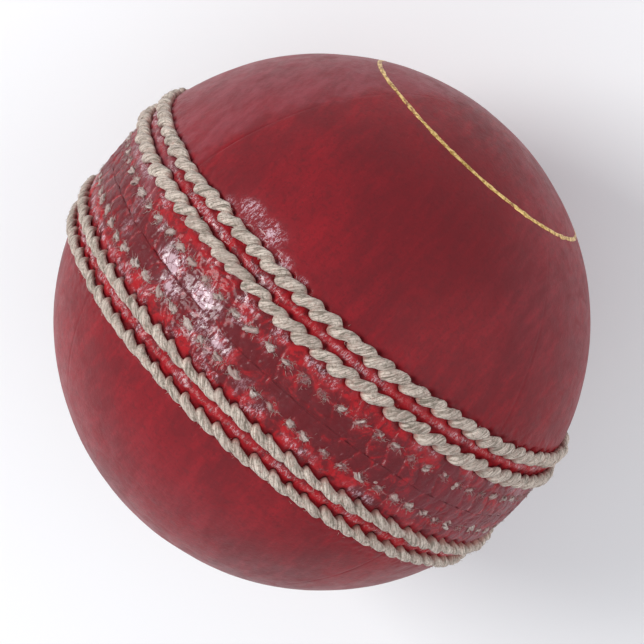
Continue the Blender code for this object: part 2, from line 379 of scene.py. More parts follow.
def leather_relief(longitude, distance, half):
    """Height of the leather over the plain ball, and the marks its material shows."""
    sign = POLE_SIGNS[half]
    place = on_ball(longitude, sign * distance / BALL_RADIUS, BALL_RADIUS)
    calm = smooth_step(distance / (1.2 * MM))
    level = BALL_RADIUS * np.cos(distance / BALL_RADIUS)
    shift = fractal_noise(place, 2.4 * MM, 11) * 0.42 * MM * calm
    lon = longitude + shift / np.maximum(level, 1.0 * MM)
    dist = distance + fractal_noise(place, 2.4 * MM, 14) * 0.36 * MM * calm

    inner = ROWS[half + "_inner"]
    outer = ROWS[half + "_outer"]
    closing = CLOSING_ROWS[half]
    near_rows = 1.0 - smooth_step((distance - ROWS_EDGE) / (3.5 * MM))
    in_band = 1.0 - smooth_step((distance - BAND_EDGE) / (0.9 * MM))
    scuff_and_glint = scuffed_and_glinting(longitude, distance, half)

    height = SWELL * fractal_noise(place, 7.0 * MM, 21)
    wrinkles = 1.0 - np.abs(lattice_noise(place, 1.5 * MM, 31))
    fine = 1.0 - np.abs(lattice_noise(place, 0.72 * MM, 32))
    roughness = near_rows * (0.30 + 0.70 * in_band) + 0.7 * scuff_and_glint
    height -= roughness * (WRINKLE * wrinkles ** 6 + FINE_WRINKLE * fine ** 4)
    height += near_rows * PEBBLE * lattice_noise(place, 0.5 * MM, 33)

    # The edge of the leather turns down into the join
    worn_lit_side = bell(wrapped(longitude - WORN_LIT_LONGITUDE), WORN_LIT_SPREAD)
    drop = np.clip(0.55 + 0.9 * lattice_noise(place, 4.0 * MM, 34), 0.1, 1.2)
    drop = drop * (0.35 + 0.65 * worn_lit_side)
    height -= drop * EDGE_DROP * bell(distance, EDGE_WIDTH)
    height -= drop * EDGE_ROUNDING * bell(distance, SOFT_WIDTH)

    # Pillows between the creases of the closing stitches
    line = creases(lon, dist, closing, inner)
    uneven = 0.75 + 0.6 * lattice_noise(place, 3.0 * MM, 35)
    crease = bell(line, CREASE_WIDTH) * in_band
    height -= uneven * (CREASE * crease + PILLOW * bell(line, SOFT_WIDTH) * in_band)
    sunk = dents(longitude, distance, closing, 0.85 * MM, 0.0, 0.72 * MM)
    height -= THREAD_DENT * sunk

    # Channels and holes of the raised rows, and the leather pinched up between them
    hole_depth_and_shade = 0.0 * sunk
    for row in (inner, outer):
        off = distance - row.distance
        height -= ROW_CHANNEL * bell(off, CHANNEL_WIDTH)
        holes = dents(longitude, distance, row, -0.1 * MM, -0.75 * MM, HOLE_WIDTH)
        ends = dents(longitude, distance, row, STITCH_LENGTH, 0.75 * MM, HOLE_WIDTH)
        hole_depth_and_shade = np.maximum(hole_depth_and_shade, np.maximum(holes, 0.8 * ends))
    height -= HOLE * hole_depth_and_shade
    between = bell(distance - 0.5 * (inner.distance + outer.distance), SOFT_WIDTH)
    mounds = 0.5 + 0.5 * np.cos(STITCHES * (lon - outer.starts[0]) + 2.0)
    height += MOUND * between * mounds * (0.8 + 0.6 * lattice_noise(place, 1.8 * MM, 36))
    height -= MOUND_WRINKLE * between * fine ** 3

    # Short puckers that run out from the outer row
    beyond = distance - outer.distance - 0.8 * MM
    pucker = np.sin(STITCHES * (lon - outer.starts[0])) * smooth_step(beyond / (0.5 * MM))
    height += PUCKER * pucker * bell(np.maximum(beyond, 0.0), 1.2 * MM)

    # The quarter join: a fine groove along a low ridge
    join = JOIN_LONGITUDES[half]
    off_join = np.sin(longitude - join) * level * np.cos(longitude - join)
    off_join = np.where(np.cos(longitude - join) > 0, off_join, -off_join)
    wavering = off_join + 0.05 * MM * lattice_noise(place, 3.0 * MM, 37)
    height += JOIN_RIDGE * bell(wavering, 1.4 * MM)
    crown = smooth_step((distance - 16.0 * MM) / (14.0 * MM))
    depth = JOIN_GROOVE - CROWN_LOSS * crown
    depth = depth * (0.8 + 0.7 * lattice_noise(place, 2.0 * MM, 40))
    height -= depth * bell(wavering, JOIN_WIDTH)

    # Marks: dust with painted sheen, torn and frayed lacquer with painted highlights, the painted
    # shade of the holes, and new red where the stitches pull
    dusty_and_sheen = dust_and_sheen(place, longitude, distance, half, in_band)
    torn_and_glint = torn_lacquer_and_glint(place, longitude, distance, inner, between, in_band * worn_lit_side)
    patchy = smooth_step(0.5 + 1.4 * fractal_noise(place, 3.4 * MM, 38))
    frayed_and_glint = np.clip(sunk + crease * patchy, 0.0, 1.0)
    fresh = smooth_step((distance - 1.8 * MM) / (2.8 * MM)) * (1.0 - 0.9 * dusty_and_sheen)
    marks = {
        "crease": np.clip(frayed_and_glint + 0.75 * between * near_rows, 0.0, 1.0),
        "hole_depth_and_shade": hole_depth_and_shade,
        "band": np.maximum(in_band, 0.9 * bell(distance - RAISED_MIDDLE, RAISED_REACH)),
        "scuff_and_glint": np.maximum(scuff_and_glint, torn_and_glint),
        "fresh": fresh,
        "dusty_and_sheen": dusty_and_sheen,
    }
    return height, marks


def spaced(stops):
    """Values from stop to stop, each stretch cut into steps no longer than its own size."""
    values = [stops[0][0]]
    for (start, _), (end, step) in zip(stops, stops[1:]):
        count = max(1, math.ceil((end - start) / step))
        values += [start + (end - start) * (i + 1) / count for i in range(count)]
    return np.array(values)


def grid_faces(rows, columns):
    """Quads between neighbours in a grid of vertices."""
    r, c = np.meshgrid(np.arange(rows - 1), np.arange(columns - 1), indexing="ij")
    a = (r * columns + c).ravel()
    return np.stack([a, a + 1, a + columns + 1, a + columns], axis=-1)


def zipper(one, other):
    """Triangles between two lists of vertices that run side by side."""
    faces = []
    i = j = 0
    while i < len(one) - 1 or j < len(other) - 1:
        step_one = (i + 1) / (len(one) - 1) <= (j + 1) / (len(other) - 1)
        if j >= len(other) - 1 or (step_one and i < len(one) - 1):
            faces.append((one[i], one[i + 1], other[j]))
            i += 1
        else:
            faces.append((one[i], other[j + 1], other[j]))
            j += 1
    return faces


def new_mesh_object(name, points, quads, triangles=(), attributes=None):
    """A smooth-shaded mesh object, with a value or a vector at each vertex for each attribute."""
    mesh = bpy.data.meshes.new(name)
    faces = [tuple(f) for f in np.asarray(quads).tolist()] + [tuple(t) for t in triangles]
    mesh.from_pydata(np.asarray(points).tolist(), [], faces)
    for label, values in (attributes or {}).items():
        values = np.asarray(values, np.float32)
        kind = "FLOAT" if values.ndim == 1 else "FLOAT_VECTOR"
        layer = mesh.attributes.new(label, kind, "POINT")
        layer.data.foreach_set("value" if values.ndim == 1 else "vector", values.ravel())
    mesh.shade_smooth()
    mesh.validate()
    obj = bpy.data.objects.new(name, mesh)
    bpy.context.scene.collection.objects.link(obj)
    return obj


SEAM_EDGE = 0.015 * MM  # half the gap between the two halves
JOIN_EDGE = 0.008 * MM  # half the gap between two quarters
SEAM_WANDER = 0.14 * MM  # how far the seam strays from its plane
JOIN_CHANNEL = 0.7 * MM  # depth of the channel inside a join that holds the hidden thread
SHARP_ANGLE = math.radians(62)


def leather_quarter(half, number, material):
    """One quarter of the cover: a closed shell with the leather's relief on its outside."""
    sign = POLE_SIGNS[half]
    join = JOIN_LONGITUDES[half]
    side = 1.0 if number == 1 else -1.0
    start = join if side * sign > 0 else join - math.pi
    quarter_arc = BALL_RADIUS * math.pi / 2
    half_turn = BALL_RADIUS * math.pi

    rows = spaced([
        (SEAM_EDGE, 0),
        (0.10 * MM, 0.03 * MM),
        (0.40 * MM, 0.07 * MM),
        (12.5 * MM, 0.155 * MM),
        (16.0 * MM, 0.32 * MM),
        (quarter_arc - 0.5 * MM, 0.85 * MM),
    ])
    columns = spaced([
        (0.0, 0),
        (0.5 * MM, 0.08 * MM),
        (half_turn - 0.5 * MM, 0.183 * MM),
        (half_turn, 0.08 * MM),
    ]) / half_turn

    distance, share = np.meshgrid(rows, columns, indexing="ij")
    latitude = distance / BALL_RADIUS
    inset = np.arcsin(JOIN_EDGE / (BALL_RADIUS * np.cos(latitude)))
    longitude = start + inset + share * (math.pi - 2.0 * inset)
    height, marks = leather_relief(longitude, distance, half)
    wander = SEAM_WANDER * fractal_noise(on_ball(longitude, 0.0 * latitude, 1.0), 0.16, 41)
    shifted = sign * latitude + wander * bell(distance, 2.0 * MM) / BALL_RADIUS
    outer = on_ball(longitude, shifted, BALL_RADIUS + height)

    inner_rows = spaced([(0.3 * MM, 0), (quarter_arc - 1.5 * MM, 6.0 * MM)])
    inner_distance, inner_share = np.meshgrid(inner_rows, columns, indexing="ij")
    inner_latitude = inner_distance / BALL_RADIUS
    level = COVER_INNER_RADIUS * np.cos(inner_latitude)
    inner_inset = np.arcsin(JOIN_EDGE / level)
    inner_longitude = start + inner_inset + inner_share * (math.pi - 2.0 * inner_inset)
    off_join = np.abs(np.sin(inner_longitude - join)) * level
    inner_radius = COVER_INNER_RADIUS + JOIN_CHANNEL * bell(off_join, 0.6 * MM)
    inner = on_ball(inner_longitude, sign * inner_latitude, inner_radius)

    middle = start + math.pi / 2
    tip = np.array([math.sin(middle), 0.0, math.cos(middle)]) * JOIN_EDGE
    pole_height = float(leather_relief(np.array([middle]), np.array([quarter_arc]), half)[0][0])
    tips = np.array([
        tip + [0.0, sign * (BALL_RADIUS + pole_height), 0.0],
        tip + [0.0, sign * (COVER_INNER_RADIUS + JOIN_CHANNEL), 0.0],
    ])

    width = len(columns)
    inner_start = outer.shape[0] * width
    tip_outer = inner_start + inner.shape[0] * width
    tip_inner = tip_outer + 1
    points = np.concatenate([outer.reshape(-1, 3), inner.reshape(-1, 3), tips])

    outer_faces = grid_faces(len(rows), width)
    inner_faces = grid_faces(len(inner_rows), width)[:, ::-1] + inner_start
    first = np.arange(width)
    rim = np.stack([first[:-1], inner_start + first[:-1], inner_start + first[1:], first[1:]], -1)
    quads = np.concatenate([outer_faces, inner_faces, rim])
    last_outer = (len(rows) - 1) * width
    last_inner = inner_start + (len(inner_rows) - 1) * width
    triangles = []
    for c in range(width - 1):
        triangles.append((last_outer + c, last_outer + c + 1, tip_outer))
        triangles.append((last_inner + c + 1, last_inner + c, tip_inner))
    left_outer = [r * width for r in range(len(rows))] + [tip_outer]
    left_inner = [inner_start + r * width for r in range(len(inner_rows))] + [tip_inner]
    right_outer = [i + width - 1 for i in left_outer[:-1]] + [tip_outer]
    right_inner = [i + width - 1 for i in left_inner[:-1]] + [tip_inner]
    triangles += zipper(left_outer, left_inner)
    triangles += [t[::-1] for t in zipper(right_outer, right_inner)]
    if sign < 0:
        quads = quads[:, ::-1]
        triangles = [t[::-1] for t in triangles]

    extra = np.zeros(len(inner_rows) * width + 2)
    obj = new_mesh_object(
        f"leather_{half}_{number}",
        points,
        quads,
        triangles,
        {label: np.concatenate([values.ravel(), extra]) for label, values in marks.items()},
    )
    obj.data.set_sharp_from_angle(angle=SHARP_ANGLE)
    obj.data.materials.append(material)
    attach(obj, "root")
    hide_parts(f"cover_quarter_{half}_{number}")


# The thread

THREAD_PLIES = 9
TWIST = 1350.0  # radians along a metre of thread
PLY_DEPTH = 0.13  # how deep the grooves between plies are, as a share of the half-width
PLY_MEAN = 0.7
LUMPINESS = 0.06
FIBRE_RADIUS = 0.65 * MM  # of the cylinder on which the thread's material is laid out
BURIED_STAIN_AND_SHADE = 0.24  # how low, in mm, the dye reads a hair where wear hasn't uncovered the row, on the side turned from the key light, where the extra stain is also painted shade
UNCOVERED_LONGITUDE = -0.8  # middle of the stretch where wear has uncovered the closing stitches
UNCOVERED_SPREAD = 0.65


def exposed(longitude):
    """How far wear has uncovered the closing stitches, from 0 to 1."""
    return bell(wrapped(longitude - UNCOVERED_LONGITUDE), UNCOVERED_SPREAD)


def smooth_curve(points, count):
    """Positions along a smooth curve near a list of points, by cubic B-spline."""
    before = [2 * points[0] - points[1]]
    after = [2 * points[-1] - points[-2]]
    control = np.concatenate([before, points, after])
    t = np.linspace(0.0, len(points) - 1.0, count)
    i = np.minimum(t.astype(int), len(points) - 2)
    u = (t - i)[:, None]
    p0, p1, p2, p3 = (control[i + k] for k in range(4))
    total = (1 - u) ** 3 * p0 + (3 * u ** 3 - 6 * u ** 2 + 4) * p1
    total += (-3 * u ** 3 + 3 * u ** 2 + 3 * u + 1) * p2 + u ** 3 * p3
    return total / 6.0


WOBBLE = (0.06, 0.05, 0.03, 0.02)  # in mm: along, across, height, half-width


def stitch_tube(row, k, shape, untidy, rings, sides, draw):
    """One stitch, or one strand of it: it leaves its hole, crosses the row and dives in."""
    wobble = draw.normal(0.0, 1.0, shape.shape) * untidy * MM * WOBBLE
    along, across, height, half_width = smooth_curve(shape + wobble, rings).T
    loose = untidy - NEAT
    across = across * draw.uniform(0.85, 1.2) + draw.normal(0.0, 0.075 * MM) * loose
    along = along * draw.uniform(1.02 - 0.08 * untidy, 1.0)
    along = along + draw.normal(0.0, 0.04 * MM) * (1.0 + 1.6 * loose)
    height = height + draw.normal(0.0, 0.02 * MM) * untidy
    half_width = half_width * row.size[k]
    latitude = row.sign * (row.middles[k] + across) / BALL_RADIUS
    longitude = row.starts[k] + along / (BALL_RADIUS * np.cos(latitude))
    path = on_ball(longitude, latitude, BALL_RADIUS + height)

    steps = np.linalg.norm(np.diff(path, axis=0), axis=1)
    length = np.concatenate([[0.0], np.cumsum(steps)])
    tangent = np.gradient(path, axis=0)
    tangent /= np.linalg.norm(tangent, axis=1, keepdims=True)
    outward = path / np.linalg.norm(path, axis=1, keepdims=True)
    forward = path[-1] - path[0]
    side = np.cross(forward, outward)
    side /= np.linalg.norm(side, axis=1, keepdims=True)
    up = np.cross(side, tangent)
    up /= np.linalg.norm(up, axis=1, keepdims=True)

    around = np.linspace(0.0, math.tau, sides, endpoint=False)[None, :]
    start = draw.uniform(0.0, math.tau)
    twist = row.sign * TWIST * length[:, None] + start
    plies = np.sqrt(np.abs(np.cos(0.5 * THREAD_PLIES * (around - twist))))
    lumps = lattice_noise(path + row.seed * 0.1, 0.7 * MM, 61)[:, None]
    spots = np.stack([np.cos(around), np.sin(around), 0.0 * around], -1) * 0.6 * MM
    knots = lattice_noise(path[:, None, :] + spots, 0.42 * MM, 62)
    swell = 1.0 + PLY_DEPTH * (plies - PLY_MEAN) + LUMPINESS * lumps + LUMPINESS * untidy * knots
    wide = half_width[:, None] * swell
    tall = STITCH_FLATNESS * wide
    points = (
        path[:, None, :]
        + side[:, None, :] * (wide * np.cos(around))[..., None]
        + up[:, None, :] * (tall * np.sin(around))[..., None]
    )
    turns = FIBRE_RADIUS * np.stack([np.cos(around - twist), np.sin(around - twist)], -1)
    along_thread = np.broadcast_to(length[:, None, None], (*turns.shape[:2], 1))
    fibre = np.concatenate([along_thread, turns], axis=-1) + draw.uniform(0.0, 0.1)
    rise = np.linalg.norm(points, axis=-1) - BALL_RADIUS
    groove_shade = 1.0 - plies
    shade = np.full(rise.shape, draw.uniform(0.0, 1.0))
    return points, fibre, rise, shade, groove_shade


def tube_faces(rings, sides):
    """Quads of a tube without its ends."""
    r, s = np.meshgrid(np.arange(rings - 1), np.arange(sides), indexing="ij")
    after = (s + 1) % sides
    a, b = r * sides + s, r * sides + after
    return np.stack([a, b, b + sides, a + sides], -1).reshape(-1, 4)


HAIR_RINGS = 5
HAIR_SIDES = 3
HAIR_RADIUS = (0.018, 0.040)  # least and most, in mm
HAIR_SCATTER = 0.26 * MM  # spread, across the row, of the places where hairs start


def stray_hairs(row, shape, per_stitch, reach, curl, on_leather, draw):
    """Fine fibres that have worked loose from the thread, each a thin closed tube."""
    k = np.repeat(np.arange(STITCHES), per_stitch)
    count = len(k)
    t = np.linspace(0.0, 1.0, HAIR_RINGS)[None, :]
    heading = draw.uniform(0.0, math.tau, (count, 1)) + draw.normal(0.0, curl, (count, 1)) * t
    reach = reach * (0.62 + 0.38 * exposed(row.starts[k]))[:, None]
    step = reach * draw.uniform(0.4, 1.2, (count, 1)) / (HAIR_RINGS - 1)
    first_along = shape[-1][0] * draw.uniform(0.05, 0.95, (count, 1))
    along = first_along + np.cumsum(np.cos(heading) * step, axis=1)
    across = draw.normal(0.0, HAIR_SCATTER, (count, 1)) + np.cumsum(np.sin(heading) * step, axis=1)
    distance = row.middles[k][:, None] + across
    longitude = row.starts[k][:, None] + along / (BALL_RADIUS * np.cos(distance / BALL_RADIUS))
    if on_leather:
        lift = 0.04 * MM + 0.22 * MM * draw.uniform(0.0, 1.0, (count, 1)) * (0.5 + 0.5 * t)
        height = leather_relief(longitude, distance, row.half)[0] + lift
    else:
        base = draw.uniform(0.55, 1.02, (count, 1))
        height = MM * (base + draw.normal(0.0, 0.16, (count, 1)) * t)
    path = on_ball(longitude, row.sign * distance / BALL_RADIUS, BALL_RADIUS + height)
    tangent = np.gradient(path, axis=1)
    tangent /= np.linalg.norm(tangent, axis=2, keepdims=True)
    side = np.cross(tangent, path / BALL_RADIUS)
    side /= np.linalg.norm(side, axis=2, keepdims=True)
    up = np.cross(side, tangent)
    radius = draw.uniform(*HAIR_RADIUS, (count, 1)) * MM * (1.0 - 0.6 * t)
    around = np.linspace(0.0, math.tau, HAIR_SIDES, endpoint=False)
    ring = side[:, :, None] * np.cos(around)[:, None] + up[:, :, None] * np.sin(around)[:, None]
    return path[:, :, None, :] + radius[:, :, None, None] * ring


# For each step that a row is less tidy than NEAT, in mm
SINKING = 0.115  # how much deeper the most buried stitches lie, at most
SWELLING = 0.008  # how much wider each side of a strand is where wear has uncovered it


def thread_row(name, row, node, material, shape, strands, untidy, rings, sides, hairs):
    """All the stitches of one row, each a closed tube, in one piece.

    hairs holds how many to a stitch, how long, how curly, and whether they lie on the leather.
    """
    draw = np.random.default_rng(row.seed + 100)
    body = tube_faces(rings, sides)
    per_stitch = rings * sides
    order = np.repeat(np.arange(STITCHES), strands)
    loose = MM * (untidy - NEAT)
    uncovered = exposed(row.starts)
    depths = draw.uniform(0.0, 1.0, STITCHES) ** 1.1 * (1.15 - 0.85 * uncovered)
    sinking = depths[:, None] * (0.0, 0.0, -SINKING * loose, 0.0)
    swelling = uncovered[:, None] * (0.0, 0.0, 0.0, SWELLING * loose)
    shapes = shape + (sinking + swelling)[:, None, :]
    made = [stitch_tube(row, k, shapes[k], untidy, rings, sides, draw) for k in order]
    points, fibre, rise, shade, groove_shade = (np.stack(values) for values in zip(*made))
    firsts = np.arange(len(order)) * per_stitch
    quads = (body[None] + firsts[:, None, None]).reshape(-1, 4)
    ring = np.arange(sides)
    caps = [tuple((first + ring[::-1]).tolist()) for first in firsts]
    caps += [tuple((first + per_stitch - sides + ring).tolist()) for first in firsts]

    fuzz = stray_hairs(row, shape, *hairs, draw)
    per_hair = HAIR_RINGS * HAIR_SIDES
    hair_firsts = len(order) * per_stitch + np.arange(len(fuzz)) * per_hair
    hair_body = tube_faces(HAIR_RINGS, HAIR_SIDES)
    hair_quads = (hair_body[None] + hair_firsts[:, None, None]).reshape(-1, 4)
    hair_ring = np.arange(HAIR_SIDES)
    far = per_hair - HAIR_SIDES
    caps += [tuple((first + hair_ring[::-1]).tolist()) for first in hair_firsts]
    caps += [tuple((first + far + hair_ring).tolist()) for first in hair_firsts]
    quads = np.concatenate([quads, hair_quads])
    if row.sign > 0:
        quads = quads[:, ::-1]
        caps = [c[::-1] for c in caps]
    blank = np.zeros(fuzz.size // 3)
    hair_rise = blank + 1.0
    # Tufts and hairs away from the uncovered stretch, on the side turned from the key light, read
    # lower and take more stain: dye, and painted shade
    if hairs[-1]:
        covered_and_shaded = 1.0 - uncovered
        rise = rise - BURIED_STAIN_AND_SHADE * MM * 0.5 * covered_and_shaded[order][:, None, None]
        hair_rise = -BURIED_STAIN_AND_SHADE * np.repeat(covered_and_shaded, hairs[0] * per_hair)
    points = np.concatenate([points.reshape(-1, 3), fuzz.reshape(-1, 3)])
    attributes = {
        "fibre": np.concatenate([fibre.reshape(-1, 3), fuzz.reshape(-1, 3)]),
        "rise": np.concatenate([rise.ravel() / MM, hair_rise]),
        "shade": np.concatenate([shade.ravel(), blank + 0.5]),
        "groove_shade": np.concatenate([groove_shade.ravel(), blank]),
    }
    obj = new_mesh_object(name, points, quads, caps, attributes)
    obj.data.materials.append(material)
    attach(obj, "root")
    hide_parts(node)


# The foil ring

FOIL_STEPS = 900
FOIL_HALF_WIDTH = 0.29 * MM
# Across the band in half-widths, and height over the leather in mm
FOIL_SECTION = (
    (-1, -0.05),
    (-1, 0.016),
    (-0.5, 0.024),
    (0.5, 0.024),
    (1, 0.016),
    (1, -0.05),
)


def foil_ring(material):
    """A thin gold band that follows the leather."""
    low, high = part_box("foil_ring")
    polar = math.atan2(high.x, 0.5 * (low.y + high.y))
    middle = BALL_RADIUS * (math.pi / 2 - polar)
    longitude = np.linspace(0.0, math.tau, FOIL_STEPS, endpoint=False)
    circle = on_ball(longitude, 0.0 * longitude, 1.0)
    half_width = FOIL_HALF_WIDTH * (1.0 + 0.26 * fractal_noise(circle, 0.06, 51))
    drift = 0.05 * MM * fractal_noise(circle, 0.2, 54)
    # The ring is slightly flattened on two sides and a little off centre
    flattened = 0.42 * np.cos(2.0 * (longitude - 0.35))
    shifted = 0.18 * np.cos(longitude + 1.3)
    drift += (0.28 - flattened - shifted) * MM
    rows = []
    for across, lift in FOIL_SECTION:
        distance = middle + drift + across * half_width
        height = leather_relief(longitude, distance, "stamped")[0]
        rows.append(on_ball(longitude, distance / BALL_RADIUS, BALL_RADIUS + height + lift * MM))
    points = np.stack(rows, axis=1)
    quads = tube_faces(FOIL_STEPS + 1, len(rows))
    quads = quads % (FOIL_STEPS * len(rows))
    obj = new_mesh_object("gold_foil_ring", points.reshape(-1, 3), quads)
    obj.data.materials.append(material)
    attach(obj, "root")
    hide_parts("foil_ring")


# Materials

class Nodes:
    """A short way to write a node tree."""

    def __init__(self, name):
        self.material = bpy.data.materials.new(name)
        self.material.use_nodes = True
        self.tree = self.material.node_tree
        self.shader = self.tree.nodes["Principled BSDF"]

    def add(self, kind, **settings):
        node = self.tree.nodes.new(kind)
        for key, value in settings.items():
            setattr(node, key, value)
        return node

    def link(self, source, target):
        self.tree.links.new(source, target)

    def place(self):
        return self.add("ShaderNodeTexCoord").outputs["Object"]

    def noise(self, scale, detail=3.0, roughness=0.5, vector=None, distortion=0.0):
        node = self.add("ShaderNodeTexNoise")
        node.inputs["Scale"].default_value = scale
        node.inputs["Detail"].default_value = detail
        node.inputs["Roughness"].default_value = roughness
        node.inputs["Distortion"].default_value = distortion
        self.link(vector or self.place(), node.inputs["Vector"])
        return node.outputs["Fac"]

    def voronoi(self, scale, feature="F1", vector=None):
        node = self.add("ShaderNodeTexVoronoi", feature=feature)
        node.inputs["Scale"].default_value = scale
        self.link(vector or self.place(), node.inputs["Vector"])
        return node.outputs["Distance"]

    def swirled(self, amount):
        """Positions pushed about by noise, so that a cell pattern loses its straight edges."""
        noise = self.add("ShaderNodeTexNoise")
        noise.inputs["Scale"].default_value = 900.0
        self.link(self.place(), noise.inputs["Vector"])
        push = self.add("ShaderNodeVectorMath", operation="MULTIPLY_ADD")
        push.inputs[1].default_value = (amount * MM,) * 3
        self.link(noise.outputs["Color"], push.inputs[0])
        self.link(self.place(), push.inputs[2])
        return push.outputs[0]

    def stretch(self, scale, vector=None):
        node = self.add("ShaderNodeMapping")
        node.inputs["Scale"].default_value = scale
        self.link(vector or self.place(), node.inputs["Vector"])
        return node.outputs["Vector"]

    def attribute(self, name, output="Fac"):
        return self.add("ShaderNodeAttribute", attribute_name=name).outputs[output]

    def ramp(self, value, low, high, to_low=0.0, to_high=1.0):
        node = self.add("ShaderNodeMapRange", interpolation_type="SMOOTHSTEP")
        node.inputs["From Min"].default_value = low
        node.inputs["From Max"].default_value = high
        node.inputs["To Min"].default_value = to_low
        node.inputs["To Max"].default_value = to_high
        self.link(value, node.inputs["Value"])
        return node.outputs["Result"]

    def math(self, operation, one, other):
        node = self.add("ShaderNodeMath", operation=operation)
        for socket, value in zip(node.inputs, (one, other)):
            if isinstance(value, (int, float)):
                socket.default_value = value
            else:
                self.link(value, socket)
        return node.outputs[0]

    def mix(self, factor, one, other):
        node = self.add("ShaderNodeMix", data_type="RGBA")
        sockets = (node.inputs[0], node.inputs[6], node.inputs[7])
        for socket, value in zip(sockets, (factor, one, other)):
            if isinstance(value, tuple):
                socket.default_value = (*value, 1.0)
            elif isinstance(value, (int, float)):
                socket.default_value = value
            else:
                self.link(value, socket)
        return node.outputs[2]

    def bump(self, height, strength, distance, normal=None):
        node = self.add("ShaderNodeBump")
        if isinstance(strength, float):
            node.inputs["Strength"].default_value = strength
        else:
            self.link(strength, node.inputs["Strength"])
        node.inputs["Distance"].default_value = distance
        self.link(height, node.inputs["Height"])
        if normal is not None:
            self.link(normal, node.inputs["Normal"])
        return node.outputs["Normal"]

    def set(self, **values):
        for label, value in values.items():
            socket = self.shader.inputs[label.replace("_", " ")]
            if isinstance(value, (int, float)):
                socket.default_value = value
            elif isinstance(value, tuple):
                socket.default_value = (*value, 1.0)
            else:
                self.link(value, socket)


# Middle of a darker patch on the stamped half
DARK_PATCH_MIDDLE = on_ball(math.radians(4.0), 29.0 * MM / BALL_RADIUS, BALL_RADIUS)


